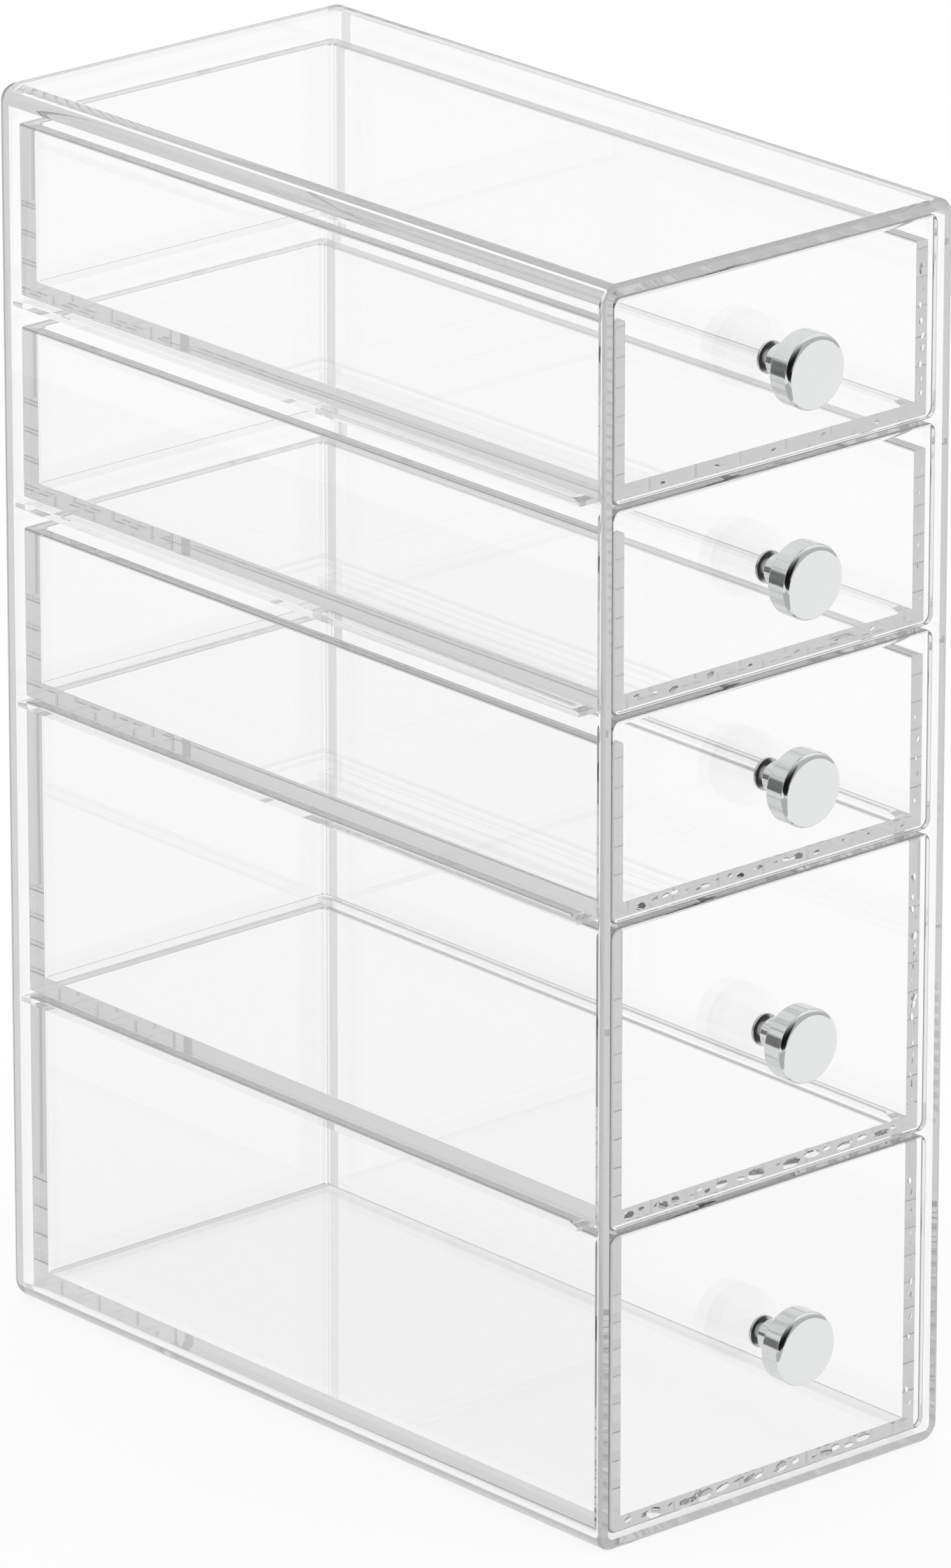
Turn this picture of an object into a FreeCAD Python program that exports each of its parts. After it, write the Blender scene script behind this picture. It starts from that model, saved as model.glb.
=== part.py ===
import FreeCAD, Part
import os

import Sketcher

# A clear five-drawer organizer. X is the width, -Y the front and +Z up.
# The origin is the centre of the case's base.

# Driving dimensions in millimetres: name, value, what it is.
DIMENSIONS = [
    ("case_width", 88.9, "outside width of the case"),
    ("case_depth", 177.8, "outside depth of the case"),
    ("case_height", 254.0, "outside height of the case"),
    ("case_wall", 2.3, "thickness of the case's top, bottom and sides"),
    ("case_rear_wall", 1.7, "thickness of the case's rear wall"),
    ("case_edge_radius", 3.7, "rounding of the four long outer edges"),
    ("case_rear_radius", 3.5, "rounding of the outer edges round the rear wall"),
    ("case_inner_radius", 1.4, "rounding of the inner edges"),
    ("case_lip_radius", 0.9, "rounding of the outer edge round the open front"),
    ("shallow_pitch", 41.5, "height that a shallow drawer takes up in the stack"),
    ("deep_pitch", 62.2, "height that a deep drawer takes up in the stack"),
    ("stack_top", 251.0, "height of the top edge of the uppermost front panel"),
    ("panel_gap", 0.8, "gap between one front panel and the next"),
    ("panel_side_gap", 0.75, "gap between a front panel and the case's side wall"),
    ("panel_thickness", 3.0, "thickness of a front panel"),
    ("panel_corner", 2.0, "rounding of a front panel's corners"),
    ("panel_edge", 0.8, "rounding of a front panel's front edge"),
    ("panel_back_edge", 0.3, "rounding of a front panel's back edge"),
    ("panel_recess", 0.65, "how far the front panels stand behind the case's front when closed"),
    ("tray_width", 80.0, "outside width of a tray"),
    ("tray_length", 170.85, "length of a tray behind its front panel"),
    ("tray_wall", 3.0, "thickness of a tray's side and rear walls"),
    ("tray_floor", 3.0, "thickness of a tray's floor"),
    ("tray_lift", 0.5, "height of a tray's underside above its panel's lower edge"),
    ("floor_clearance", 0.15, "clearance between the lowest tray and the case's floor"),
    ("shallow_tray_drop", 5.2, "distance of a shallow tray's rim below its panel's top edge"),
    ("deep_tray_drop", 0.8, "distance of a deep tray's rim below its panel's top edge"),
    ("tray_outer_edge", 1.0, "rounding of a tray's outer rear and bottom edges"),
    ("tray_inner_edge", 2.0, "rounding of a tray's inner edges"),
    ("tray_rim_edge", 0.4, "rounding of a tray's top rim"),
    ("runner_width", 5.0, "how far a runner stands out from the side wall"),
    ("runner_thickness", 1.5, "thickness of a runner"),
    ("runner_front", 7.9, "distance of a runner's front end behind the case's front"),
    ("runner_length", 166.0, "length of a runner"),
    ("runner_lead", 2.4, "length of the sloping lead-in at a runner's front end"),
    ("runner_tail", 5.0, "length of the slope at a runner's rear end"),
    ("runner_drop", 0.6, "drop of both slopes"),
    ("slide_clearance", 0.15, "clearance between a tray and its runners"),
    ("knob_length", 11.1, "how far a knob stands out from its panel"),
    ("knob_head_radius", 7.5, "radius of a knob's head"),
    ("knob_head_length", 5.4, "length of a knob's head"),
    ("knob_neck_radius", 3.05, "radius of a knob's neck"),
    ("knob_rim", 1.1, "rounding of the rim of a knob's face"),
    ("knob_back_rim", 0.5, "rounding of the rim of a knob's back"),
    ("knob_bore_radius", 1.55, "radius of the threaded bore in a knob"),
    ("knob_bore_depth", 7.0, "depth of that bore"),
    ("screw_shank_radius", 1.5, "radius of a knob screw's shank"),
    ("screw_length", 9.0, "length of a knob screw's shank"),
    ("screw_head_radius", 3.25, "radius of a knob screw's head"),
    ("screw_head_height", 1.0, "height of a knob screw's head"),
    ("screw_head_edge", 0.6, "rounding of a knob screw's head"),
    ("screw_slot_length", 3.0, "length of each arm pair of the cross recess"),
    ("screw_slot_width", 0.8, "width of the cross recess's arms"),
    ("screw_slot_depth", 0.7, "depth of the cross recess"),
    ("screw_hole_radius", 1.8, "radius of the clearance hole in a front panel"),
]

# The drawers' kinds from the top down; drawer 1 is the uppermost.
KINDS = ["shallow", "shallow", "shallow", "deep", "deep"]
SIDES = ["left", "right"]
NEAR = 1e-4  # millimetres within which two positions count as the same
LEAST_CUT = 1.0  # cubic millimetres that a pocket or hole must remove

doc = FreeCAD.newDocument("organizer")
sheet = doc.addObject("Spreadsheet::Sheet", "Sizes")
for row, (alias, value, note) in enumerate(DIMENSIONS, start=1):
    sheet.set(f"A{row}", note)
    sheet.set(f"B{row}", str(value))
    sheet.setAlias(f"B{row}", alias)
doc.recompute()
NAMES = {alias for alias, _, _ in DIMENSIONS}


def sizes(text):
    """Puts the sheet's name before each dimension in an expression whose words are set apart by spaces."""
    return " ".join(f"Sizes.{word}" if word in NAMES else word for word in text.split())


def measure(text):
    """The value of an expression in the sheet's dimensions."""
    return float(sheet.evalExpression(sizes(text)))


def body(label, x="0", y="0", z="0"):
    """An empty body whose placement follows three expressions."""
    made = doc.addObject("PartDesign::Body", label)
    made.Label = label
    for axis, text in zip("xyz", (x, y, z)):
        made.setExpression(f"Placement.Base.{axis}", sizes(text))
    return made


def plane(owner, role):
    return next(f for f in owner.Origin.OriginFeatures if f.Role == role)


def outline(owner, name, role, points, offset=None):
    """A closed sketch of straight edges whose every corner is tied to the sheet by two expressions."""
    sketch = owner.newObject("Sketcher::SketchObject", name)
    sketch.AttachmentSupport = (plane(owner, role), [""])
    sketch.MapMode = "FlatFace"
    if offset:
        sketch.setExpression("AttachmentOffset.Base.z", sizes(offset))
    corners = [FreeCAD.Vector(measure(x), measure(y), 0) for x, y in points]
    count = len(corners)
    for i in range(count):
        sketch.addGeometry(Part.LineSegment(corners[i], corners[(i + 1) % count]), False)
    for i in range(count):
        sketch.addConstraint(Sketcher.Constraint("Coincident", i, 2, (i + 1) % count, 1))
    for i, corner in enumerate(points):
        for kind, text, on_axis in (("DistanceX", corner[0], -2), ("DistanceY", corner[1], -1)):
            value = measure(text)
            if abs(value) < NEAR:
                sketch.addConstraint(Sketcher.Constraint("PointOnObject", i, 1, on_axis))
                continue
            ends = (-1, 1, i, 1) if value > 0 else (i, 1, -1, 1)
            index = sketch.addConstraint(Sketcher.Constraint(kind, *ends, abs(value)))
            sign = "" if value > 0 else "-1 * "
            sketch.setExpression(f"Constraints[{index}]", sizes(f"{sign}( {text} )"))
    return sketch


def rectangle(owner, name, role, width, low, high, offset=None):
    """A rectangle centred on the sketch's vertical axis."""
    left, right = f"-1 * ( {width} ) / 2", f"( {width} ) / 2"
    return outline(owner, name, role, [(left, low), (right, low), (right, high), (left, high)], offset)


def pad(owner, name, sketch, length, backwards=False):
    made = owner.newObject("PartDesign::Pad", name)
    made.Profile = sketch
    made.Reversed = backwards
    made.setExpression("Length", sizes(length))
    doc.recompute()
    return made


def pocket(owner, name, sketch, length, backwards=False):
    """Cuts a sketch into the body, and stops if nothing was removed."""
    before = owner.Tip.Shape.Volume
    made = owner.newObject("PartDesign::Pocket", name)
    made.Profile = sketch
    made.Reversed = backwards
    made.setExpression("Length", sizes(length))
    doc.recompute()
    if made.Shape.Volume > before - LEAST_CUT:
        raise RuntimeError(f"{owner.Label}: {name} cut nothing")
    return made


def round_edges(owner, name, radius, chosen):
    """Rounds the edges of the body's last feature that the test picks."""
    base = owner.Tip
    picked = [f"Edge{i}" for i, edge in enumerate(base.Shape.Edges, start=1) if chosen(edge)]
    if not picked:
        raise RuntimeError(f"{owner.Label}: {name} found no edges")
    made = owner.newObject("PartDesign::Fillet", name)
    made.Base = (base, picked)
    made.setExpression("Radius", sizes(radius))
    doc.recompute()
    return made


def spun(owner, name, points):
    """A solid of revolution about the body's Y axis; each point is a place along Y and a radius."""
    sketch = outline(owner, f"{name}_profile", "YZ_Plane", points)
    made = owner.newObject("PartDesign::Revolution", name)
    made.Profile = sketch
    made.ReferenceAxis = (sketch, ["H_Axis"])
    made.Angle = 360
    doc.recompute()
    return made


def curve(edge):
    """The edge's curve, or None where it has collapsed to a point."""
    try:
        return edge.Curve
    except TypeError:
        return None


def same(a, b):
    return abs(a - b) < NEAR


def spans(edge, axis):
    """The lowest and highest coordinate of an edge along an axis named x, y or z."""
    box = edge.BoundBox
    return {"x": (box.XMin, box.XMax), "y": (box.YMin, box.YMax), "z": (box.ZMin, box.ZMax)}[axis]


def lies_at(edge, axis, value):
    """Whether an edge lies in the plane where the axis has this value."""
    low, high = spans(edge, axis)
    return same(low, value) and same(high, value)


def runs_along(edge, axis):
    """Whether an edge is straight and parallel to the axis."""
    return isinstance(curve(edge), Part.Line) and all(
        same(*spans(edge, other)) for other in "xyz" if other != axis
    )


def stack_pitch(number):
    """The pitches of the drawers from the top down to this one, as an expression."""
    kinds = KINDS[:number]
    return f"{kinds.count('shallow')} * shallow_pitch + {kinds.count('deep')} * deep_pitch"


def panel_height(number):
    return f"{KINDS[number - 1]}_pitch - panel_gap"


def panel_bottom(number):
    return f"stack_top + panel_gap - ( {stack_pitch(number)} )"


def tray_bottom(number):
    """The lowest tray runs on the case's floor; the others stand a little above their panel's lower edge."""
    if number == len(KINDS):
        return "case_wall + floor_clearance"
    return f"{panel_bottom(number)} + tray_lift"


def tray_height(number):
    rim = f"{panel_bottom(number)} + {panel_height(number)} - {KINDS[number - 1]}_tray_drop"
    return f"{rim} - ( {tray_bottom(number)} )"


def knob_height(number):
    """Height of a knob above its panel's lower edge: it sits in the panel's middle."""
    return f"( {panel_height(number)} ) / 2"


def make_case():
    """The clear shell, moulded in one: five walls, open at the front."""
    case = body("case_shell", y="-1 * case_depth / 2")
    outside = rectangle(case, "outer_profile", "XZ_Plane", "case_width", "0", "case_height")
    pad(case, "block", outside, "case_depth", backwards=True)
    depth = measure("case_depth")
    round_edges(case, "long_edges", "case_edge_radius", lambda e: runs_along(e, "y"))
    round_edges(case, "rear_edges", "case_rear_radius", lambda e: lies_at(e, "y", depth))
    round_edges(case, "front_lip", "case_lip_radius", lambda e: lies_at(e, "y", 0))
    width = "case_width - 2 * case_wall"
    inside = rectangle(case, "inner_profile", "XZ_Plane", width, "case_wall", "case_height - case_wall")
    pocket(case, "hollow", inside, "case_depth - case_rear_wall")
    side = measure("case_width / 2 - case_wall")
    inner_rear = measure("case_depth - case_rear_wall")
    round_edges(
        case,
        "inner_long_edges",
        "case_inner_radius",
        lambda e: runs_along(e, "y") and same(abs(e.CenterOfMass.x), side),
    )
    round_edges(case, "inner_rear_edges", "case_inner_radius", lambda e: lies_at(e, "y", inner_rear))
    return case


def make_runner(number, side):
    """A strip cemented to the side wall, that a tray slides on; its top slopes down at both ends."""
    reach = "case_width / 2 - case_wall"
    strip = body(
        f"runner_{number}_{side}",
        x=f"-1 * ( {reach} )" if side == "left" else f"{reach} - runner_width",
        y="-1 * case_depth / 2 + runner_front",
        z=f"{tray_bottom(number)} - slide_clearance - runner_thickness",
    )
    profile = outline(
        strip,
        "profile",
        "YZ_Plane",
        [
            ("0", "0"),
            ("runner_length", "0"),
            ("runner_length", "runner_thickness - runner_drop"),
            ("runner_length - runner_tail", "runner_thickness"),
            ("runner_lead", "runner_thickness"),
            ("0", "runner_thickness - runner_drop"),
        ],
    )
    pad(strip, "strip", profile, "runner_width")
    return strip


def make_tray(number):
    """A tray with two sides, a rear wall and a floor; its front end is open and flat."""
    height = tray_height(number)
    tray = body(
        f"drawer_{number}_tray",
        y="-1 * case_depth / 2 + panel_recess + panel_thickness",
        z=tray_bottom(number),
    )
    outside = rectangle(tray, "outer_profile", "XY_Plane", "tray_width", "0", "tray_length")
    pad(tray, "block", outside, height)
    length, top = measure("tray_length"), measure(height)

    def outer(edge):
        upright = runs_along(edge, "z") and lies_at(edge, "y", length)
        return upright or (lies_at(edge, "z", 0) and not lies_at(edge, "y", 0))

    round_edges(tray, "outer_edges", "tray_outer_edge", outer)
    width, rear = "tray_width - 2 * tray_wall", "tray_length - tray_wall"
    inside = rectangle(tray, "inner_profile", "XY_Plane", width, "0", rear, offset=height)
    pocket(tray, "hollow", inside, f"{height} - tray_floor")
    inner_rear, floor = measure(rear), measure("tray_floor")

    def inner(edge):
        upright = runs_along(edge, "z") and lies_at(edge, "y", inner_rear)
        return upright or (lies_at(edge, "z", floor) and not lies_at(edge, "y", 0))

    round_edges(tray, "inner_edges", "tray_inner_edge", inner)
    round_edges(tray, "rim", "tray_rim_edge", lambda e: lies_at(e, "z", top) and not lies_at(e, "y", 0))
    return tray


def make_front(number):
    """A front panel with rounded corners and one clearance hole, bonded to the tray's front end."""
    front = body(
        f"drawer_{number}_front",
        y="-1 * case_depth / 2 + panel_recess",
        z=panel_bottom(number),
    )
    width = "case_width - 2 * case_wall - 2 * panel_side_gap"
    profile = rectangle(front, "profile", "XZ_Plane", width, "0", panel_height(number))
    pad(front, "panel", profile, "panel_thickness", backwards=True)
    thickness = measure("panel_thickness")
    round_edges(front, "corners", "panel_corner", lambda e: runs_along(e, "y"))
    round_edges(front, "front_edge", "panel_edge", lambda e: lies_at(e, "y", 0))
    round_edges(front, "back_edge", "panel_back_edge", lambda e: lies_at(e, "y", thickness))
    place = front.newObject("Sketcher::SketchObject", "hole_place")
    place.AttachmentSupport = (plane(front, "XZ_Plane"), [""])
    place.MapMode = "FlatFace"
    height, radius = knob_height(number), "screw_hole_radius"
    centre = FreeCAD.Vector(0, measure(height), 0)
    place.addGeometry(Part.Circle(centre, FreeCAD.Vector(0, 0, 1), measure(radius)), False)
    place.addConstraint(Sketcher.Constraint("PointOnObject", 0, 3, -2))
    rise = place.addConstraint(Sketcher.Constraint("DistanceY", -1, 1, 0, 3, measure(height)))
    place.setExpression(f"Constraints[{rise}]", sizes(height))
    size = place.addConstraint(Sketcher.Constraint("Radius", 0, measure(radius)))
    place.setExpression(f"Constraints[{size}]", sizes(radius))
    doc.recompute()
    before = front.Tip.Shape.Volume
    hole = front.newObject("PartDesign::Hole", "screw_hole")
    hole.Profile = place
    hole.DepthType = "ThroughAll"
    hole.setExpression("Diameter", sizes("2 * screw_hole_radius"))
    doc.recompute()
    if hole.Shape.Volume > before - LEAST_CUT:
        raise RuntimeError(f"{front.Label}: the screw hole cut nothing")
    return front


def make_knob(number):
    """A turned knob: a neck and a wide flat head, with a blind threaded bore for its screw."""
    knob = body(
        f"drawer_{number}_knob",
        y="-1 * case_depth / 2 + panel_recess",
        z=f"{panel_bottom(number)} + {knob_height(number)}",
    )
    back_of_head = "-1 * ( knob_length - knob_head_length )"
    spun(
        knob,
        "turning",
        [
            ("0", "knob_bore_radius"),
            ("0", "knob_neck_radius"),
            (back_of_head, "knob_neck_radius"),
            (back_of_head, "knob_head_radius"),
            ("-1 * knob_length", "knob_head_radius"),
            ("-1 * knob_length", "0"),
            ("-1 * knob_bore_depth", "0"),
            ("-1 * knob_bore_depth", "knob_bore_radius"),
        ],
    )
    face, back = -measure("knob_length"), measure(back_of_head)
    head = measure("knob_head_radius")

    def rim(edge, place):
        round_edge = isinstance(curve(edge), Part.Circle)
        return round_edge and same(curve(edge).Radius, head) and lies_at(edge, "y", place)

    round_edges(knob, "front_rim", "knob_rim", lambda e: rim(e, face))
    round_edges(knob, "back_rim", "knob_back_rim", lambda e: rim(e, back))
    return knob


def make_screw(number):
    """A pan-head screw with a cross recess; its head bears on the back of the front panel."""
    screw = body(
        f"drawer_{number}_screw",
        y="-1 * case_depth / 2 + panel_recess + panel_thickness",
        z=f"{panel_bottom(number)} + {knob_height(number)}",
    )
    spun(
        screw,
        "turning",
        [
            ("-1 * screw_length", "0"),
            ("-1 * screw_length", "screw_shank_radius"),
            ("0", "screw_shank_radius"),
            ("0", "screw_head_radius"),
            ("screw_head_height", "screw_head_radius"),
            ("screw_head_height", "0"),
        ],
    )
    top = measure("screw_head_height")
    round_edges(screw, "head_edge", "screw_head_edge", lambda e: lies_at(e, "y", top))
    long, thin = "screw_slot_length / 2", "screw_slot_width / 2"
    arms = [(long, thin), (thin, thin), (thin, long)]
    quarter = [(1, 1), (-1, 1), (-1, -1), (1, -1)]
    points = []
    for turn, (sx, sy) in enumerate(quarter):
        corner = arms if turn % 2 == 0 else arms[::-1]
        points += [(f"{sx} * {x}", f"{sy} * {y}") for x, y in corner]
    cross = outline(screw, "cross", "XZ_Plane", points, offset="-1 * screw_head_height")
    pocket(screw, "cross_recess", cross, "screw_slot_depth", backwards=True)
    return screw


def write_parts(parts):
    """Checks every object and every sub-part, then writes one STEP file for each."""
    doc.recompute()
    for item in doc.Objects:
        if {"Invalid", "Error"} & set(item.State):
            raise RuntimeError(f"{item.Label} failed: {item.State}")
    for part in parts:
        if part.Shape.isNull() or not part.Shape.isValid() or len(part.Shape.Solids) != 1:
            raise RuntimeError(f"{part.Label} is not one valid solid")
    os.makedirs("parts", exist_ok=True)
    for part in parts:
        part.Shape.exportStep(f"parts/{part.Label}.step")
        print(f"{part.Label}: {part.Shape.Volume / 1000:.2f} cm3, {part.Shape.BoundBox}")


parts = [make_case()]
for number in range(1, len(KINDS) + 1):
    if number < len(KINDS):
        parts += [make_runner(number, side) for side in SIDES]
    parts += [make_tray(number), make_front(number), make_knob(number), make_screw(number)]
write_parts(parts)
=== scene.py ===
import math

import bmesh
import bpy
from mathutils import Matrix, Vector


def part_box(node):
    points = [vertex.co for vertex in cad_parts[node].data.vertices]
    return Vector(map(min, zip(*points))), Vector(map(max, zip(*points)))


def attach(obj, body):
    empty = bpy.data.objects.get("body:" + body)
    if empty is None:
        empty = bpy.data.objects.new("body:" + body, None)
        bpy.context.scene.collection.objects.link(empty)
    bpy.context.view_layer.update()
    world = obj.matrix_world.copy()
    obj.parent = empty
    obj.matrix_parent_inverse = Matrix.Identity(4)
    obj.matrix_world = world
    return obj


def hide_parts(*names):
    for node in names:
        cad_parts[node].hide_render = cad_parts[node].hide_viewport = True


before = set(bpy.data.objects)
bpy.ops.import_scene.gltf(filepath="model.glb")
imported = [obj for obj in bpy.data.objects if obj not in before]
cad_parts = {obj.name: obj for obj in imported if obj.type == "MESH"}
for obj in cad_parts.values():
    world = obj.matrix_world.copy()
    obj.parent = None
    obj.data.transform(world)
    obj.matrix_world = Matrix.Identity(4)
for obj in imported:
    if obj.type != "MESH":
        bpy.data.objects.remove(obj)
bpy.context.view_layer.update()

# A tall clear organizer: a moulded case, open at the front, and five drawers that slide out of it.
# X runs across the front, Y from the front to the back, and Z upwards. MM turns millimetres into
# metres.
MM = 0.001
DRAWERS = (1, 2, 3, 4, 5)
RUNNERS = [(number, side) for number in DRAWERS[:-1] for side in ("left", "right")]

# The moulded case and the runners inside it.
CASE_WALL = 2.3 * MM
CASE_REAR_WALL = 1.7 * MM
CASE_EDGE = 3.7 * MM  # the long outer edges
CASE_REAR_EDGE = 3.5 * MM
CASE_INNER_EDGE = 1.4 * MM  # the long inner edges
CASE_INNER_REAR = 0.25 * MM  # where they meet the rear wall
CASE_LIP = 0.9 * MM  # the outer edge round the open front
CASE_REAR_STRIP = 1.2 * MM  # flat plastic before the rear rounding, which greys with it
RUNNER_LEAD = 2.4 * MM  # the ramp at a runner's front end
RUNNER_TAIL = 5.0 * MM  # the ramp at its rear end
RUNNER_DROP = 0.6 * MM  # how far both ramps fall

# Trays and front panels.
TRAY_WALL = 3.0 * MM
TRAY_OUTER_EDGE = 1.0 * MM
TRAY_INNER_CORNER = 1.4 * MM  # the upright corners inside a tray
TRAY_FLOOR_EDGE = 0.25 * MM  # where its floor meets its walls
TRAY_UNDER_EDGE = 0.35 * MM
TRAY_RIM = 0.4 * MM
PANEL_CORNER = 2.0 * MM
PANEL_FRONT_EDGE = 0.8 * MM
PANEL_BACK_EDGE = 0.3 * MM
SCREW_HOLE = 1.8 * MM  # its radius

# Knobs, turned to a head, a neck and a blind bore.
KNOB_HEAD_LENGTH = 5.4 * MM
KNOB_NECK = 3.05 * MM  # its radius
KNOB_RIM = 1.1 * MM  # the bevel round a knob's face
KNOB_RIM_BULGE = 0.13  # how far that bevel swells, as a part of its width
KNOB_BACK_RIM = 0.5 * MM
KNOB_BORE = 1.55 * MM  # its radius
KNOB_BORE_DEPTH = 7.0 * MM
LATHE_PITCH = 0.45 * MM  # from one faint turning mark to the next
LATHE_MARK = 0.003 * MM  # how deep such a mark is
LATHE_STEPS = 4  # rings of faces for each mark

# Screws, with a cross recess in the head.
SCREW_SHANK = 1.5 * MM  # its radius
SCREW_TIP_INSET = 0.3 * MM
SCREW_TIP_LENGTH = 0.4 * MM
SCREW_HEAD_HEIGHT = 1.0 * MM
SCREW_HEAD_EDGE = 0.6 * MM
CROSS_LENGTH = 3.0 * MM
CROSS_WIDTH = 0.8 * MM
CROSS_DEPTH = 0.7 * MM

# How finely the meshes are made.
ARC_STEPS = 8  # in a quarter circle
TURNED_STEPS = 96  # round a knob or a screw
TURNED_TIP = 0.02 * MM  # how near a turned outline comes to its axis
SHARP_CORNER = 0.05 * MM  # the radius of a corner that looks sharp
HAIR = 0.05 * MM  # a gap that keeps two touching faces apart
BITE = 0.4 * MM  # how far two joined pieces reach into each other before they are made one
MOULDED_CREASE = 28  # faces that meet at less than this many degrees are shaded as one rounding
KNOB_CREASE = 40
SCREW_CREASE = 35

# Rows of small air pockets in the cement between a tray and its panel. Each row says where it
# starts and ends, in millimetres across the drawer (along the floor) or up from the floor (along
# the right-hand wall), how many pockets it has, and the size of the largest in millimetres.
FLOOR_POCKETS = {
    1: [(-27, 27, 5, 0.9)],
    2: [(-33, -29, 2, 1.0), (-25, 27, 6, 1.5)],
    3: [(-34, 9, 18, 1.3), (13, 34, 4, 1.2)],
    4: [(-34, -14, 8, 1.4), (-11, 34, 11, 2.2)],
    5: [(-34, 26, 19, 2.0)],
}
WALL_POCKETS = {
    1: [(2, 28, 10, 1.0)],
    2: [(3, 28, 6, 0.8)],
    3: [(3, 28, 7, 0.8)],
    4: [(3, 50, 20, 1.2)],
    5: [(3, 50, 14, 1.0)],
}
FLOOR_SPREAD = (1.1, 0.1, 0.4)  # how far a pocket strays from its row, in millimetres
WALL_SPREAD = (0.5, 0.1, 1.1)
FLOOR_TILT = (0.8, 0.0, 0.0)  # how far a pocket leans, in radians about each axis
WALL_TILT = (0.0, 0.0, 0.8)
LEAN = 0.3  # how much that differs from one pocket to the next
POCKET_SIDES = 7  # a pocket is a thin disc with this many sides
POCKET_THICKNESS = 0.2  # as a part of its radius
POCKET_HEIGHT = 0.75  # likewise
LEAST_POCKET = 0.3  # the smallest pocket's size next to the largest

# How much painted shade the plastic gets at its edges, from 0 to 1: grey mixed into its colour
# for the grey that light gives its rims and roundings. A mesh attribute holds it, face by face.
EDGE = "edge"
PAINTED_EDGE_SHADE = 0.6  # painted shade on rims and outer roundings
PANEL_PAINTED_SHADES = (1.0, 0.75, 0.3)  # painted shade on a panel's right-hand edge, its underside and its other edges; darkest right

# How a face lies, from the parts of its normal.
FLAT_ON = 0.95  # at least this much along an axis: it lies flat across that axis
SLANTED = 0.93  # less than this along every axis: it belongs to a rounding
STEEP = 0.7  # less than this upwards or downwards: the steeper half of a rounding
REARWARD = 0.4  # more than this backwards: it looks to the rear
LEANING = 0.3  # more than this one way: it leans that way
ALONG_Y = 0.1  # less than this front to back: it runs from front to back

# The stage: a floor, cards that lie on it, and the room round it. Places are in metres.
STAGE_REACH = 3.0  # the floor and the widest cards end this far out
FLOOR_LEVEL = -0.0002
CLEAR_CARD_LEVEL = 0.0001  # cards that clear pieces see as well
MIRROR_CARD_LEVEL = 0.0002  # cards that only mirrors see
FLOOR_SHADE = 0.12  # the part of the floor's brightness that the object can shade
DIM_ROOM = 0.68  # the dim room's brightness next to the stage's
LAMPS = (0.575, 0.424, 1.0)  # towards the lamps: overhead, behind and to the right
LAMPS_END = -0.35  # how far round from them their light reaches
LAMPS_FALL = 2.4  # how fast it falls off on the way
DARK_CORNER = (-0.68, -0.64, 0.36)  # towards the dark front left of the room
DARK_CORNER_RANGE = (0.68, 0.82)  # where the pale wall begins to fade, and where it has gone
PALE_WALL = 0.55
PLASTIC_ROOM = (0.93, 1.0)  # the darkest and the brightest of it that clear plastic passes on
DOORWAY = (-0.707, 0.707, 0.0)  # towards a dark doorway at the back left
DOORWAY_SIDE = (0.8, 0.93)  # where it begins at its sides, and where it is quite dark
DOORWAY_TOP = (0.22, 0.33)  # and where it ends at its top
DOORWAY_DARK = 0.05

# The camera, which looks at the front from the left and from above.
IMAGE_HEIGHT = 2464  # in pixels
FOCAL_LENGTH = 19980.0  # in the same pixels
SENSOR = 36.0  # in millimetres, along the image's height
CAMERA_PLACE = (-1.54265, -1.75518, 0.95909)
CAMERA_AZIMUTH = -41.3552  # in degrees; 0 is straight in front
CAMERA_ELEVATION = 19.7001
CAMERA_ROLL = -0.0091
CAMERA_RANGE = (0.05, 50.0)
BOUNCES = 256  # light goes round inside the clear walls this often before it is given up
CLEAR_BOUNCES = 32  # and this often through see-through shaders


def linear(hex_colour):
    """An sRGB hex value as a linear colour with full alpha."""
    channels = [int(hex_colour[i : i + 2], 16) / 255 for i in (1, 3, 5)]
    light = [c / 12.92 if c <= 0.04045 else ((c + 0.055) / 1.055) ** 2.4 for c in channels]
    return (*light, 1.0)


def add(tree, kind, settings=None, **inputs):
    """Adds a node with its settings.

    Each input is a value to set or another node's output to link. _3 means the input at index 3.
    """
    made = tree.nodes.new(kind)
    for name, value in (settings or {}).items():
        setattr(made, name, value)
    for name, value in inputs.items():
        key = int(name[1:]) if name[0] == "_" else name.replace("_", " ")
        if isinstance(value, bpy.types.NodeSocket):
            tree.links.new(value, made.inputs[key])
        else:
            made.inputs[key].default_value = value
    return made


def material(name):
    """A material with an empty tree, and that tree's output node."""
    made = bpy.data.materials.new(name)
    made.use_nodes = True
    made.node_tree.nodes.clear()
    return made, made.node_tree, made.node_tree.nodes.new("ShaderNodeOutputMaterial")


# ---------------------------------------------------------------- materials


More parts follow.
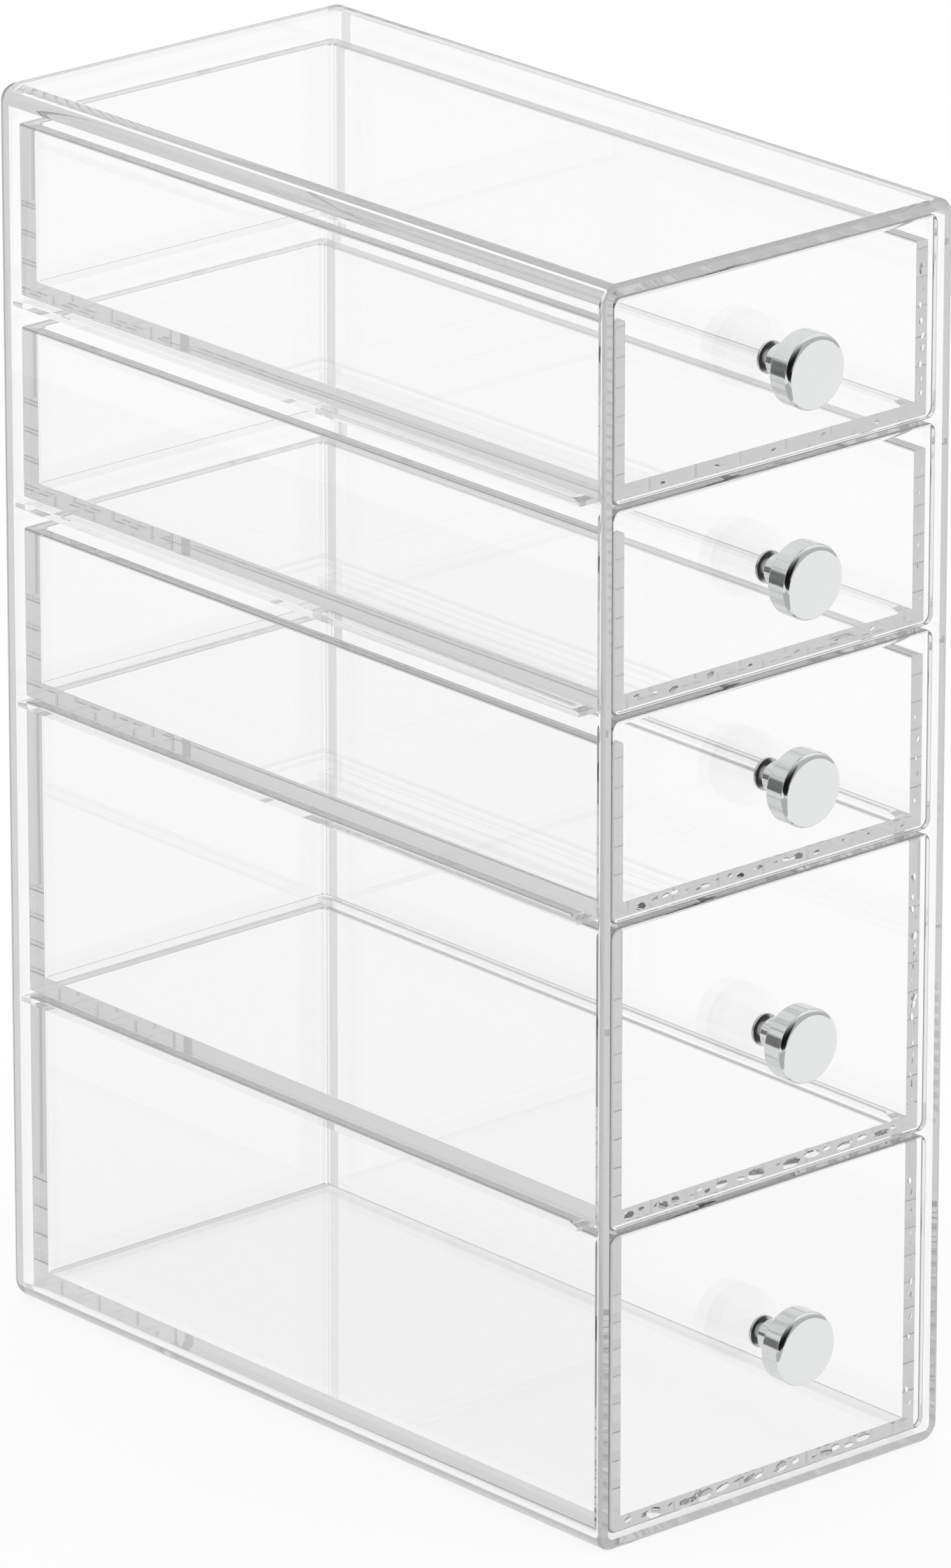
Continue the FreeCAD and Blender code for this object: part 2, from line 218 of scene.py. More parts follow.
def moulded_acrylic():
    """Clear acrylic, injection moulded.

    Its flat plates pass light almost untouched. The flow into the mould left a faint swell, about
    45 mm from one wave to the next, which bends what shows through. Rims and roundings get painted
    shade: grey is mixed into their colour, face by face, for the grey that the light running inside
    the plates gives them.
    """
    made, tree, out = material("moulded_clear_acrylic")
    place = add(tree, "ShaderNodeTexCoord").outputs["Object"]
    flow = add(tree, "ShaderNodeTexNoise", Vector=place, Scale=22.0, Detail=1.0).outputs["Fac"]
    swell = add(tree, "ShaderNodeBump", Strength=0.06, Distance=0.4 * MM, Height=flow)
    # Painted shade: the mesh attribute marks rims and roundings, where grey is mixed into the
    # colour.
    edge = add(tree, "ShaderNodeAttribute", {"attribute_name": EDGE}).outputs["Fac"]
    painted_edge_colour = add(
        tree,
        "ShaderNodeMix",
        {"data_type": "RGBA"},
        _0=edge,
        _6=linear("#ffffff"),
        _7=linear("#606266"),
    )
    shader = add(
        tree,
        "ShaderNodeBsdfPrincipled",
        Base_Color=painted_edge_colour.outputs[2],
        Roughness=0.0,
        IOR=1.49,
        Transmission_Weight=1.0,
        Normal=swell.outputs["Normal"],
    )
    body = add(tree, "ShaderNodeVolumeAbsorption", Color=(0.14, 0.16, 0.17, 1.0), Density=0.7)
    tree.links.new(shader.outputs["BSDF"], out.inputs["Surface"])
    tree.links.new(body.outputs["Volume"], out.inputs["Volume"])
    return made


def turned_chrome():
    """Brass, turned, polished and chrome plated: a bright mirror with slightly soft edges in it."""
    made, tree, out = material("turned_chrome_plate")
    shader = add(
        tree,
        "ShaderNodeBsdfPrincipled",
        Base_Color=linear("#e4e6e6"),
        Metallic=1.0,
        Roughness=0.12,
    )
    tree.links.new(shader.outputs["BSDF"], out.inputs["Surface"])
    return made


def plated_steel():
    """Zinc plated steel: a soft grey mirror."""
    made, tree, out = material("zinc_plated_steel")
    shader = add(
        tree,
        "ShaderNodeBsdfPrincipled",
        Base_Color=linear("#dadcdd"),
        Metallic=1.0,
        Roughness=0.34,
    )
    tree.links.new(shader.outputs["BSDF"], out.inputs["Surface"])
    return made


# ---------------------------------------------------------------- mesh building


def put_in_scene(name, mesh):
    """A new object at the origin for a mesh."""
    made = bpy.data.objects.new(name, mesh)
    bpy.context.scene.collection.objects.link(made)
    return made


def standing(u, v, at):
    """A point of an outline that stands across Y."""
    return Vector((u, at, v))


def lying(u, v, at):
    """A point of an outline that lies level."""
    return Vector((u, v, at))


def ring(low, high, radii, at, lay):
    """A rounded rectangle's points, the same number at each corner.

    The radii run anticlockwise from its low-low corner, and lay gives each point its place.
    """
    (u0, v0), (u1, v1) = low, high
    corners = [
        (u0 + radii[0], v0 + radii[0], 180),
        (u1 - radii[1], v0 + radii[1], 270),
        (u1 - radii[2], v1 - radii[2], 0),
        (u0 + radii[3], v1 - radii[3], 90),
    ]
    points = []
    for (u, v, start), radius in zip(corners, radii):
        for step in range(ARC_STEPS + 1):
            turn = math.radians(start + 90 * step / ARC_STEPS)
            points.append(lay(u + radius * math.cos(turn), v + radius * math.sin(turn), at))
    return points


def hoop(low, high, inset, radius, y):
    """A standing ring, drawn in from its two corner points; its rounding shrinks by as much."""
    (x0, z0), (x1, z1) = low, high
    drawn_in = (x0 + inset, z0 + inset), (x1 - inset, z1 - inset)
    return ring(*drawn_in, [radius - inset] * 4, y, standing)


def quarter(radius):
    """Pairs of inset and depth that follow a quarter circle.

    They start drawn in and flush with the end, and finish flush with the side.
    """
    steps = [math.radians(90 * i / ARC_STEPS) for i in range(ARC_STEPS + 1)]
    return [(radius * (1 - math.sin(t)), radius * (1 - math.cos(t))) for t in steps]


def bevel(width):
    """Pairs of inset and depth along a bevel that bulges a little.

    They start flush with the side, and finish drawn in and flush with the face.
    """
    pairs = []
    for i in range(ARC_STEPS + 1):
        along = i / ARC_STEPS
        bulge = KNOB_RIM_BULGE * width * math.sin(math.pi * along)
        pairs.append((width * along - bulge, width * (1 - along) - bulge))
    return pairs


def loft(name, rings):
    """A closed mesh through rings of equally many points, capped at both ends."""
    mesh = bpy.data.meshes.new(name)
    shape = bmesh.new()
    rows = [[shape.verts.new(p) for p in points] for points in rings]
    for near, far in zip(rows, rows[1:]):
        for i in range(len(near)):
            j = (i + 1) % len(near)
            shape.faces.new((near[i], near[j], far[j], far[i]))
    shape.faces.new(rows[0][::-1])
    shape.faces.new(rows[-1])
    bmesh.ops.recalc_face_normals(shape, faces=shape.faces)
    shape.to_mesh(mesh)
    shape.free()
    return put_in_scene(name, mesh)


def turned(name, profile, centre):
    """A round piece along Y through a centre.

    The profile lists radius and place along Y, from one end of the piece to the other.
    """
    rings = []
    for radius, y in profile:
        points = []
        for i in range(TURNED_STEPS):
            turn = math.tau * i / TURNED_STEPS
            x, z = centre.x + radius * math.cos(turn), centre.z + radius * math.sin(turn)
            points.append(Vector((x, y, z)))
        rings.append(points)
    return loft(name, rings)


def block(name, low, high):
    """A plain box between two corners."""
    corners = ((low.x, low.y), (high.x, low.y), (high.x, high.y), (low.x, high.y))
    return loft(name, [[Vector((x, y, z)) for x, y in corners] for z in (low.z, high.z)])


def sheets(name, areas, height):
    """Level rectangles at a height; each area is two opposite corners as x, y, x, y."""
    mesh = bpy.data.meshes.new(name)
    shape = bmesh.new()
    for x0, y0, x1, y1 in areas:
        corners = ((x0, y0), (x1, y0), (x1, y1), (x0, y1))
        shape.faces.new([shape.verts.new((x, y, height)) for x, y in corners])
    shape.to_mesh(mesh)
    shape.free()
    return put_in_scene(name, mesh)


def bake(piece):
    """Turns the piece's modifiers into plain mesh."""
    bpy.context.view_layer.update()
    changed = piece.evaluated_get(bpy.context.evaluated_depsgraph_get())
    result = bpy.data.meshes.new_from_object(changed)
    piece.modifiers.clear()
    piece.data = result


def combine(piece, others, operation):
    """Joins the others to the piece, or cuts them from it, and takes them away."""
    for other in others:
        change = piece.modifiers.new("combine", "BOOLEAN")
        change.operation = operation
        change.solver = "EXACT"
        change.object = other
        bake(piece)
        bpy.data.objects.remove(other)


def smooth(piece, crease):
    """Shades the roundings smooth and keeps the flats flat."""
    piece.data.shade_smooth()
    piece.data.set_sharp_from_angle(angle=math.radians(crease))
    weigh = piece.modifiers.new("flats", "WEIGHTED_NORMAL")
    weigh.keep_sharp = True
    weigh.weight = 100
    bake(piece)


def paint_edge_shade(piece, painted_shade):
    """Marks each face with its painted shade, the grey mixed into its colour, from 0 to 1,
    as the function given says from the face's normal and centre.
    """
    layer = piece.data.attributes.new(EDGE, "FLOAT", "FACE")
    for face in piece.data.polygons:
        layer.data[face.index].value = float(painted_shade(face.normal, face.center))


def finish_piece(piece, body, slot, look, *nodes):
    """Gives the piece its material and its body, and hides the solids that it stands for.
    The slot is not used.
    """
    piece.data.materials.clear()
    piece.data.materials.append(look)
    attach(piece, body)
    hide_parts(*nodes)


# ---------------------------------------------------------------- the case


def make_runner(number, side):
    """A ledge with a ramp at each end, on the inside of a side wall and a little way into it."""
    low, high = (Vector(corner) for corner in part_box(f"runner_{number}_{side}"))
    if side == "left":
        low.x -= BITE
    else:
        high.x += BITE
    outline = [
        (low.y, low.z),
        (high.y, low.z),
        (high.y, high.z - RUNNER_DROP),
        (high.y - RUNNER_TAIL, high.z),
        (low.y + RUNNER_LEAD, high.z),
        (low.y, high.z - RUNNER_DROP),
    ]
    return loft("runner", [[Vector((x, y, z)) for y, z in outline] for x in (low.x, high.x)])


def make_case(look):
    """The case with its runners, drawn from the rear wall forward and, inside, back again."""
    low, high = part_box("case_shell")
    outer = (low.x, low.z), (high.x, high.z)
    inner = (low.x + CASE_WALL, low.z + CASE_WALL), (high.x - CASE_WALL, high.z - CASE_WALL)
    rear_rim = high.y - CASE_REAR_EDGE - CASE_REAR_STRIP
    inner_rear = high.y - CASE_REAR_WALL

    rings = [hoop(*outer, i, CASE_EDGE, high.y - d) for i, d in quarter(CASE_REAR_EDGE)]
    rings.append(hoop(*outer, 0, CASE_EDGE, rear_rim))
    rings += [hoop(*outer, i, CASE_EDGE, low.y + d) for i, d in reversed(quarter(CASE_LIP))]
    rings.append(hoop(*inner, 0, CASE_INNER_EDGE, low.y))
    rings += [
        hoop(*inner, i, CASE_INNER_EDGE, inner_rear - d)
        for i, d in reversed(quarter(CASE_INNER_REAR))
    ]
    case = loft("case_with_runners", rings)
    combine(case, [make_runner(*place) for place in RUNNERS], "UNION")
    smooth(case, MOULDED_CREASE)

    def painted_shade(normal, centre):
        """Painted shade: the rear rim, and the steeper half of the rounding along the top's
        long edges.
        """
        (_, inner_bottom), (inner_side, inner_top) = inner
        outside = abs(centre.x) > inner_side or not inner_bottom <= centre.z <= inner_top
        outside = outside or centre.y > inner_rear
        at_rear = centre.y > rear_rim and normal.y < REARWARD
        along_top = centre.z > high.z - CASE_EDGE and abs(centre.x) > high.x - CASE_EDGE
        along_top = along_top and abs(normal.z) < STEEP
        in_lip = centre.y < low.y + CASE_LIP
        return PAINTED_EDGE_SHADE if outside and not in_lip and (at_rear or along_top) else 0

    paint_edge_shade(case, painted_shade)
    nodes = ["case_shell"] + [f"runner_{number}_{side}" for number, side in RUNNERS]
    finish_piece(case, "case", "clear_plastic", look, *nodes)


# ---------------------------------------------------------------- the drawers


def make_tray(number):
    """A tray, drawn up its outside, over its rim and down its inside.

    Its front end reaches a little way into its panel.
    """
    low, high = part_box(f"drawer_{number}_tray")
    front = low.y - BITE
    inner_front = low.y - BITE / 10
    floor = low.z + TRAY_WALL

    def level(inset, z, wall, radius, front_edge):
        rear_corner = max(radius - inset, SHARP_CORNER)
        return ring(
            (low.x + wall + inset, front_edge),
            (high.x - wall - inset, high.y - wall - inset),
            [SHARP_CORNER, SHARP_CORNER, rear_corner, rear_corner],
            z,
            lying,
        )

    rings = [level(i, low.z + d, 0, TRAY_OUTER_EDGE, front) for i, d in quarter(TRAY_UNDER_EDGE)]
    rings += [
        level(i, high.z - d, 0, TRAY_OUTER_EDGE, front)
        for i, d in reversed(quarter(TRAY_RIM))
    ]
    rings.append(level(TRAY_WALL / 2, high.z, 0, TRAY_WALL, (front + inner_front) / 2))
    rings += [
        level(-i, high.z - d, TRAY_WALL, TRAY_INNER_CORNER, inner_front)
        for i, d in quarter(TRAY_RIM)
    ]
    rings += [
        level(i, floor + d, TRAY_WALL, TRAY_INNER_CORNER, inner_front)
        for i, d in reversed(quarter(TRAY_FLOOR_EDGE))
    ]
    return loft(f"tray_{number}", rings)


def make_panel(number):
    """A front panel, rounded more at its front edge than at its back edge."""
    low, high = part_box(f"drawer_{number}_front")
    sides = (low.x, low.z), (high.x, high.z)
    rings = [hoop(*sides, i, PANEL_CORNER, low.y + d) for i, d in quarter(PANEL_FRONT_EDGE)]
    rings += [
        hoop(*sides, i, PANEL_CORNER, high.y - d)
        for i, d in reversed(quarter(PANEL_BACK_EDGE))
    ]
    return loft(f"drawer_{number}_clear", rings)


def pocket_tree(look):
    """Geometry nodes that strew thin flat pockets of random tilt and size along a line.

    Gives the tree and, for each of its inputs by name, the identifier that sets it.
    """
    tree = bpy.data.node_groups.new("air_pockets", "GeometryNodeTree")
    kinds = {
        "Start": "Vector",
        "End": "Vector",
        "Spread": "Vector",
        "Least Tilt": "Vector",
        "Most Tilt": "Vector",
        "Count": "Int",
        "Size": "Float",
        "Seed": "Int",
    }
    sockets = {}
    for name, kind in kinds.items():
        socket = tree.interface.new_socket(name, in_out="INPUT", socket_type=f"NodeSocket{kind}")
        sockets[name] = socket.identifier
    tree.interface.new_socket("Geometry", in_out="OUTPUT", socket_type="NodeSocketGeometry")
    given = tree.nodes.new("NodeGroupInput").outputs

    line = add(
        tree,
        "GeometryNodeMeshLine",
        {"mode": "END_POINTS"},
        Count=given["Count"],
        Start_Location=given["Start"],
        Offset=given["End"],
    )
    spread = given["Spread"]
    least = add(tree, "ShaderNodeVectorMath", {"operation": "SCALE"}, _0=spread, Scale=-1.0)
    stray = add(
        tree,
        "FunctionNodeRandomValue",
        {"data_type": "FLOAT_VECTOR"},
        _0=least.outputs[0],
        _1=spread,
        Seed=given["Seed"],
    )
    strewn = add(tree, "GeometryNodeSetPosition", Geometry=line.outputs[0], Offset=stray.outputs[0])

    disc = add(
        tree,
        "GeometryNodeMeshCylinder",
        Vertices=POCKET_SIDES,
        Radius=1.0,
        Depth=POCKET_THICKNESS,
    )
    flake = add(
        tree,
        "GeometryNodeTransform",
        Geometry=disc.outputs["Mesh"],
        Rotation=(math.pi / 2, 0.0, 0.0),
        Scale=(1.0, POCKET_HEIGHT, 1.0),
    )
    tilt = add(
        tree,
        "FunctionNodeRandomValue",
        {"data_type": "FLOAT_VECTOR"},
        _0=given["Least Tilt"],
        _1=given["Most Tilt"],
        Seed=given["Seed"],
    )
    share = add(tree, "FunctionNodeRandomValue", _2=LEAST_POCKET, _3=1.0, Seed=given["Seed"])
    share, largest = share.outputs[1], given["Size"]
    size = add(tree, "ShaderNodeMath", {"operation": "MULTIPLY"}, _0=share, _1=largest)
    pockets = add(
        tree,
        "GeometryNodeInstanceOnPoints",
        Points=strewn.outputs[0],
        Instance=flake.outputs[0],
        Rotation=tilt.outputs[0],
        Scale=size.outputs[0],
    )
    real = add(tree, "GeometryNodeRealizeInstances", Geometry=pockets.outputs[0])
    dressed = add(tree, "GeometryNodeSetMaterial", Geometry=real.outputs[0], Material=look)
    out = tree.nodes.new("NodeGroupOutput")
    tree.links.new(dressed.outputs[0], out.inputs[0])
    return tree, sockets


def add_pockets(piece, number, pockets):
    """Hollows a drawer's cement out with its rows of air pockets."""
    tree, sockets = pockets
    low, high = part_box(f"drawer_{number}_tray")
    floor, wall = low.z + TRAY_WALL / 2, high.x - TRAY_WALL / 2
    bottom = low.z + TRAY_WALL
    rows = []
    for start, end, count, size in FLOOR_POCKETS[number]:
        ends = (start * MM, low.y, floor), (end * MM, low.y, floor)
        rows.append((*ends, FLOOR_SPREAD, FLOOR_TILT, count, size))
    for start, end, count, size in WALL_POCKETS[number]:
        ends = (wall, low.y, bottom + start * MM), (wall, low.y, bottom + end * MM)
        rows.append((*ends, WALL_SPREAD, WALL_TILT, count, size))

    shape = bmesh.new()
    for index, (start, end, spread, tilt, count, size) in enumerate(rows):
        row = put_in_scene("pockets", bpy.data.meshes.new("pockets"))
        strew = row.modifiers.new("pockets", "NODES")
        strew.node_group = tree
        values = {
            "Start": start,
            "End": end,
            "Spread": [reach * MM for reach in spread],
            "Least Tilt": [turn - LEAN for turn in tilt],
            "Most Tilt": [turn + LEAN for turn in tilt],
            "Count": count,
            "Size": size * MM,
            "Seed": 10 * number + index,
        }
        for name, value in values.items():
            strew[sockets[name]] = value
        bake(row)
        shape.from_mesh(row.data)
        bpy.data.objects.remove(row)
    bmesh.ops.reverse_faces(shape, faces=shape.faces)
    shape.from_mesh(piece.data)
    shape.to_mesh(piece.data)
    shape.free()


def make_drawer(number, look, pockets):
    """A tray and its front panel, made into one clear piece with a hole for the knob's screw."""
    panel = make_panel(number)
    combine(panel, [make_tray(number)], "UNION")
    knob_low, knob_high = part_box(f"drawer_{number}_knob")
    panel_low, panel_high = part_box(f"drawer_{number}_front")
    low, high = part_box(f"drawer_{number}_tray")
    through = [(SCREW_HOLE, panel_low.y - BITE), (SCREW_HOLE, panel_high.y + BITE)]
    combine(panel, [turned("hole", through, (knob_low + knob_high) / 2)], "DIFFERENCE")
    add_pockets(panel, number, pockets)
    smooth(panel, MOULDED_CREASE)

    def painted_shade(normal, centre):
        """Painted shade: the panel's edges, darker on the right and below, and the tray's rim (but
        not inside the rear) and lower left edge.
        """
        if centre.y < panel_high.y:
            right, under, others = PANEL_PAINTED_SHADES
            if abs(normal.y) > FLAT_ON:
                return 0
            if normal.x > LEANING:
                return right
            return under if normal.z < -LEANING else others
        inner_rear = high.y - TRAY_WALL < centre.y < high.y - TRAY_WALL / 2
        rim = centre.z > high.z - TRAY_RIM and not inner_rear
        slanted = max(abs(part) for part in normal) < SLANTED and abs(normal.y) < ALONG_Y
        under_left = centre.z < low.z + TRAY_UNDER_EDGE and centre.x < 0 and slanted
        return PAINTED_EDGE_SHADE if rim or under_left else 0

    paint_edge_shade(panel, painted_shade)
    nodes = [f"drawer_{number}_tray", f"drawer_{number}_front"]
    finish_piece(panel, f"drawer_{number}", "clear_plastic", look, *nodes)


def make_knob(number, look):
    """A turned knob, with faint rings on its face and the blind bore that takes its screw."""
    low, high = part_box(f"drawer_{number}_knob")
    head, face = (high.z - low.z) / 2, low.y
    back = face + KNOB_HEAD_LENGTH
    bore_end = high.y - KNOB_BORE_DEPTH
    profile = [(TURNED_TIP, bore_end), (KNOB_BORE, bore_end), (KNOB_BORE, high.y)]
    profile += [(KNOB_NECK, high.y), (KNOB_NECK, back)]
    profile += [(head - i, back - d) for i, d in quarter(KNOB_BACK_RIM)]
    profile += [(head - i, face + d) for i, d in bevel(KNOB_RIM)]
    flat_face = head - KNOB_RIM
    steps = round(LATHE_STEPS * flat_face / LATHE_PITCH)
    for i in range(1, steps):
        mark = LATHE_MARK * (1 - math.cos(math.tau * i / LATHE_STEPS)) / 2
        profile.append((flat_face * (1 - i / steps), face + mark))
    profile.append((TURNED_TIP, face))
    knob = turned(f"drawer_{number}_bright_knob", profile, (low + high) / 2)
    smooth(knob, KNOB_CREASE)
    finish_piece(knob, f"drawer_{number}", "knob_metal", look, f"drawer_{number}_knob")


def make_screw(number, look):
    """A pan-head screw with a cross recess; its head bears on the back of the front panel."""
    low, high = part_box(f"drawer_{number}_screw")
    centre, head = (low + high) / 2, (high.z - low.z) / 2
    seat = high.y - SCREW_HEAD_HEIGHT + HAIR
    profile = [(TURNED_TIP, low.y), (SCREW_SHANK - SCREW_TIP_INSET, low.y)]
    profile += [(SCREW_SHANK, low.y + SCREW_TIP_LENGTH), (SCREW_SHANK, seat), (head, seat)]
    profile += [(head - i, high.y - d) for i, d in reversed(quarter(SCREW_HEAD_EDGE))]
    profile.append((TURNED_TIP, high.y))
    screw = turned(f"drawer_{number}_pan_head_screw", profile, centre)
    arms = []
    for long, wide in ((CROSS_LENGTH, CROSS_WIDTH), (CROSS_WIDTH, CROSS_LENGTH)):
        reach = Vector((long / 2, 0, wide / 2))
        bottom = Vector((centre.x, high.y - CROSS_DEPTH, centre.z))
        top = Vector((centre.x, high.y + BITE, centre.z))
        arms.append(block("arm", bottom - reach, top + reach))
    combine(screw, arms, "DIFFERENCE")
    smooth(screw, SCREW_CREASE)
    finish_piece(screw, f"drawer_{number}", "screw_metal", look, f"drawer_{number}_screw")


# ---------------------------------------------------------------- stage, light and camera


def room_share(tree):
    """How much of the bright stage a ray finds, by how often it was turned back inside the plastic.

    Light that was turned back many times leaves in every direction, and meets the dim room as
    often as the stage.
    """
    turns = add(tree, "ShaderNodeLightPath").outputs["Glossy Depth"]
    share = add(
        tree,
        "ShaderNodeMapRange",
        Value=turns,
        From_Min=1.0,
        From_Max=3.0,
        To_Min=1.0,
        To_Max=DIM_ROOM,
    )
    return share.outputs[0]


def mirrored_once(tree):
    """1 for a ray that was mirrored once on its way, or that doesn't come out of clear plastic."""
    rays = add(tree, "ShaderNodeLightPath").outputs
    turns, inside = rays["Glossy Depth"], rays["Is Transmission Ray"]
    once = add(tree, "ShaderNodeMath", {"operation": "COMPARE"}, _0=turns, _1=1.0, _2=0.5)
    outside = add(tree, "ShaderNodeMath", {"operation": "SUBTRACT"}, _0=1.0, _1=inside)
    once, outside = once.outputs[0], outside.outputs[0]
    return add(tree, "ShaderNodeMath", {"operation": "MAXIMUM"}, _0=once, _1=outside).outputs[0]


def lay_card(name, areas, glow, through):
    """Lays cards on the floor that only mirrors see, and clear pieces too where through is true."""
    card = sheets(name, areas, CLEAR_CARD_LEVEL if through else MIRROR_CARD_LEVEL)
    look, tree, out = material(name)
    once, share = mirrored_once(tree), room_share(tree)
    shown = add(tree, "ShaderNodeMapRange", Value=once, To_Min=1.0, To_Max=glow).outputs[0]
    strength = add(tree, "ShaderNodeMath", {"operation": "MULTIPLY"}, _0=share, _1=shown)
    light = add(tree, "ShaderNodeEmission", Color=(1, 1, 1, 1), Strength=strength.outputs[0])
    tree.links.new(light.outputs[0], out.inputs["Surface"])
    card.data.materials.append(look)
    card.visible_camera = card.visible_diffuse = card.visible_shadow = False
    card.visible_transmission = through


def lay_cards():
    """Cards that the knobs mirror: pale next to the object, dark beyond that and in front."""
    end = STAGE_REACH
    near, grey_far, pale_far = -0.06, -0.43, -0.62  # how far left the pale and the grey one reach
    front, behind = -0.5, 0.1  # the black cards leave a gap between these
    flag_near, flag_step, flag_front = -0.14, -0.46, -0.62  # the black flag's stepped rear edge
    beyond = [(-end, -end, pale_far, front), (-end, behind, pale_far, end)]
    in_front = [(pale_far, -end, flag_step, front), (flag_step, -end, flag_near, flag_front)]
    lay_card("pale_card", [(pale_far, -end, near, end)], glow=0.93, through=True)
    lay_card("grey_flag", [(grey_far, front, near, end)], glow=0.5, through=False)
    lay_card("black_card", beyond, glow=0.0, through=True)
    lay_card("black_flag", in_front, glow=0.0, through=False)


def lay_floor():
    """A floor with an even white glow, of which the object can shade a small part."""
    floor = sheets("floor", [(-STAGE_REACH, -STAGE_REACH, STAGE_REACH, STAGE_REACH)], FLOOR_LEVEL)
    look, tree, out = material("studio_floor")
    diffuse = add(tree, "ShaderNodeBsdfDiffuse", Color=(FLOOR_SHADE, FLOOR_SHADE, FLOOR_SHADE, 1))
    share = room_share(tree)
    rest = add(tree, "ShaderNodeMath", {"operation": "SUBTRACT"}, _0=share, _1=FLOOR_SHADE)
    glow = add(tree, "ShaderNodeEmission", Color=(1, 1, 1, 1), Strength=rest.outputs[0])
    both = add(tree, "ShaderNodeAddShader", _0=diffuse.outputs[0], _1=glow.outputs[0])
    tree.links.new(both.outputs[0], out.inputs["Surface"])
    floor.data.materials.append(look)


def mirrored_room(tree, way):
    """What mirrors see: bright towards the lamps, dark at the front left, elsewhere a pale wall."""
    to_lamps = add(tree, "ShaderNodeVectorMath", {"operation": "DOT_PRODUCT"}, _0=way, _1=LAMPS)
    near = add(
        tree,
        "ShaderNodeMapRange",
        Value=to_lamps.outputs["Value"],
        From_Min=LAMPS_END,
        From_Max=1.0,
    )
    lit = add(tree, "ShaderNodeMath", {"operation": "POWER"}, _0=near.outputs[0], _1=LAMPS_FALL)
    to_corner = add(
        tree, "ShaderNodeVectorMath", {"operation": "DOT_PRODUCT"}, _0=way, _1=DARK_CORNER
    )
    wall = add(
        tree,
        "ShaderNodeMapRange",
        {"interpolation_type": "SMOOTHSTEP"},
        Value=to_corner.outputs["Value"],
        From_Min=DARK_CORNER_RANGE[0],
        From_Max=DARK_CORNER_RANGE[1],
        To_Min=PALE_WALL,
        To_Max=0.0,
    )
    brighter = {"operation": "MAXIMUM"}
    return add(tree, "ShaderNodeMath", brighter, _0=lit.outputs[0], _1=wall.outputs[0]).outputs[0]


def doorway(tree, way):
    """1, but less in a doorway low down at the back left, for rays mirrored once."""
    height = add(tree, "ShaderNodeSeparateXYZ", Vector=way).outputs["Z"]
    above = add(
        tree,
        "ShaderNodeMapRange",
        {"interpolation_type": "SMOOTHSTEP"},
        Value=height,
        From_Min=DOORWAY_TOP[0],
        From_Max=DOORWAY_TOP[1],
    )
    to_door = add(tree, "ShaderNodeVectorMath", {"operation": "DOT_PRODUCT"}, _0=way, _1=DOORWAY)
    beside = add(
        tree,
        "ShaderNodeMapRange",
        {"interpolation_type": "SMOOTHSTEP"},
        Value=to_door.outputs["Value"],
        From_Min=DOORWAY_SIDE[0],
        From_Max=DOORWAY_SIDE[1],
        To_Min=1.0,
        To_Max=0.0,
    )
    above, beside, once = above.outputs[0], beside.outputs[0], mirrored_once(tree)
    off_it = add(tree, "ShaderNodeMath", {"operation": "MAXIMUM"}, _0=above, _1=beside).outputs[0]
    blind = add(tree, "ShaderNodeMath", {"operation": "SUBTRACT"}, _0=1.0, _1=once).outputs[0]
    missed = add(tree, "ShaderNodeMath", {"operation": "MAXIMUM"}, _0=off_it, _1=blind).outputs[0]
    return add(tree, "ShaderNodeMapRange", Value=missed, To_Min=DOORWAY_DARK, To_Max=1.0).outputs[0]


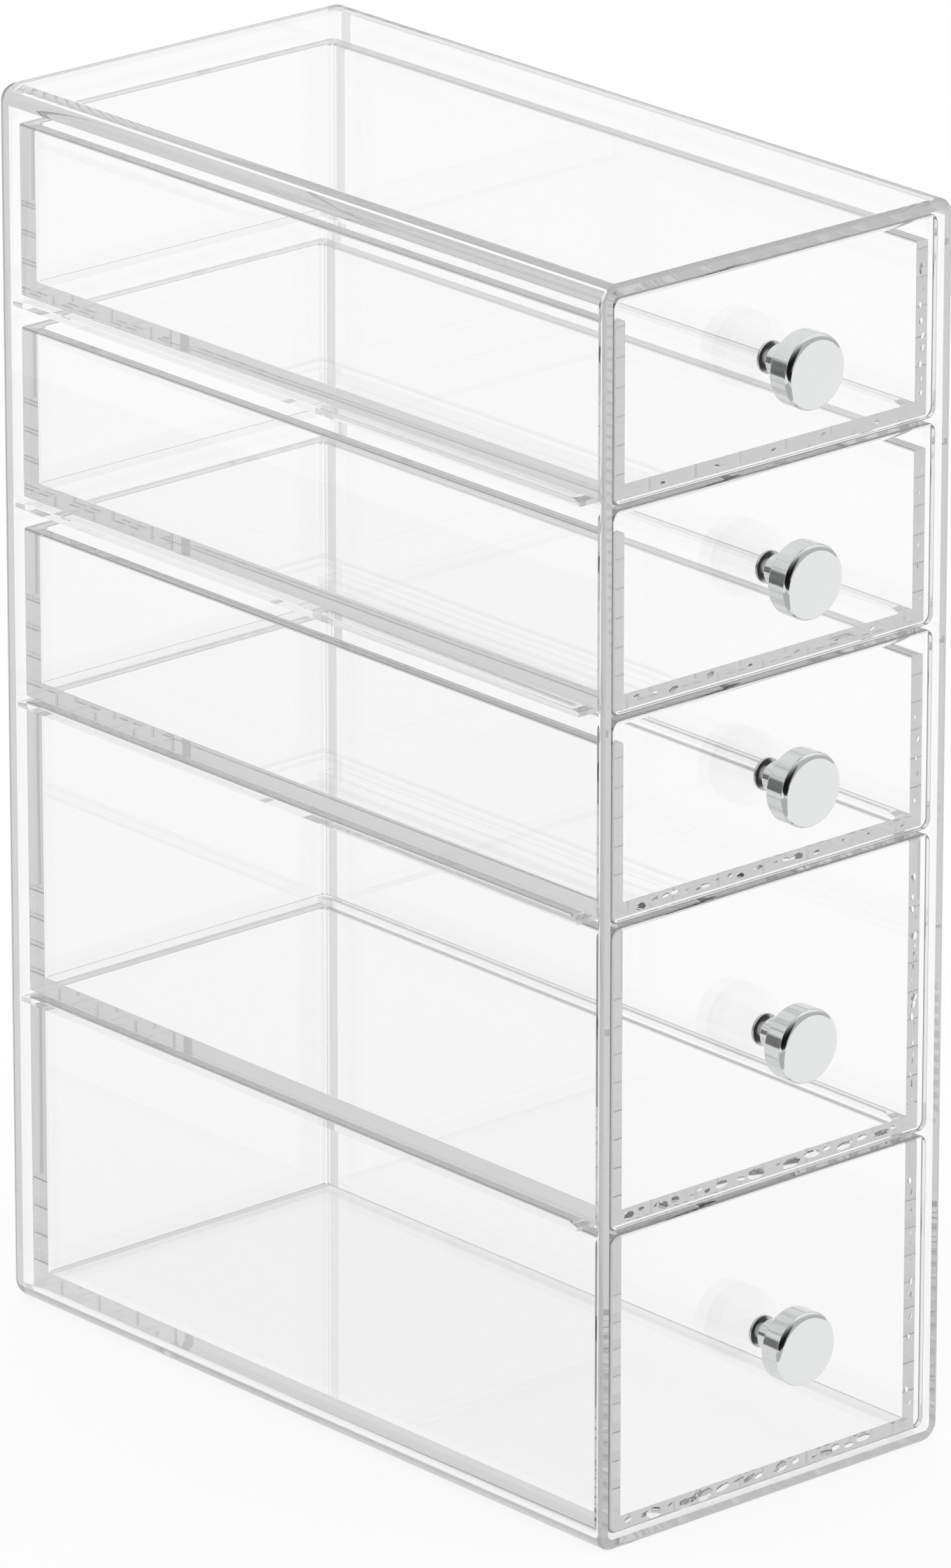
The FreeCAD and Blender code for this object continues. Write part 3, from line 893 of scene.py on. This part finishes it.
def light_room():
    """White all round for the camera and the floor; a furnished room for mirrors and plastic."""
    world = bpy.data.worlds.new("studio")
    bpy.context.scene.world = world
    world.use_nodes = True
    tree = world.node_tree
    tree.nodes.clear()
    out = tree.nodes.new("ShaderNodeOutputWorld")
    way = add(tree, "ShaderNodeTexCoord").outputs["Generated"]
    room = mirrored_room(tree, way)
    darkest, brightest = PLASTIC_ROOM
    paler = add(tree, "ShaderNodeMapRange", Value=room, To_Min=darkest, To_Max=brightest).outputs[0]
    times = {"operation": "MULTIPLY"}
    shared = add(tree, "ShaderNodeMath", times, _0=paler, _1=room_share(tree)).outputs[0]
    passed = add(tree, "ShaderNodeMath", times, _0=shared, _1=doorway(tree, way)).outputs[0]
    rays = add(tree, "ShaderNodeLightPath").outputs
    mirror, plastic = rays["Is Glossy Ray"], rays["Is Transmission Ray"]
    mirrored = add(tree, "ShaderNodeMix", _0=mirror, _2=1.0, _3=room).outputs[0]
    seen = add(tree, "ShaderNodeMix", _0=plastic, _2=mirrored, _3=passed).outputs[0]
    sky = add(tree, "ShaderNodeBackground", Color=(1, 1, 1, 1), Strength=seen)
    tree.links.new(sky.outputs[0], out.inputs["Surface"])


def make_camera():
    """A long lens, high up at the front left."""
    azimuth, elevation = math.radians(CAMERA_AZIMUTH), math.radians(CAMERA_ELEVATION)
    across = math.cos(elevation)
    back = Vector((math.sin(azimuth) * across, -math.cos(azimuth) * across, math.sin(elevation)))
    data = bpy.data.cameras.new("camera")
    data.sensor_width = SENSOR
    data.lens = FOCAL_LENGTH / IMAGE_HEIGHT * SENSOR
    data.clip_start, data.clip_end = CAMERA_RANGE
    camera = bpy.data.objects.new("camera", data)
    bpy.context.scene.collection.objects.link(camera)
    camera.location = CAMERA_PLACE
    camera.rotation_mode = "QUATERNION"
    level = (-back).to_track_quat("-Z", "Y")
    roll = Matrix.Rotation(math.radians(-CAMERA_ROLL), 3, "Z").to_quaternion()
    camera.rotation_quaternion = level @ roll
    bpy.context.scene.camera = camera


clear = moulded_acrylic()
chrome = turned_chrome()
steel = plated_steel()
make_case(clear)
pockets = pocket_tree(clear)
for number in DRAWERS:
    make_drawer(number, clear, pockets)
    make_knob(number, chrome)
    make_screw(number, steel)
lay_floor()
light_room()
lay_cards()
make_camera()

scene = bpy.context.scene
scene.view_settings.view_transform = "Standard"
scene.cycles.max_bounces = BOUNCES
scene.cycles.transmission_bounces = BOUNCES
scene.cycles.glossy_bounces = BOUNCES
scene.cycles.transparent_max_bounces = CLEAR_BOUNCES
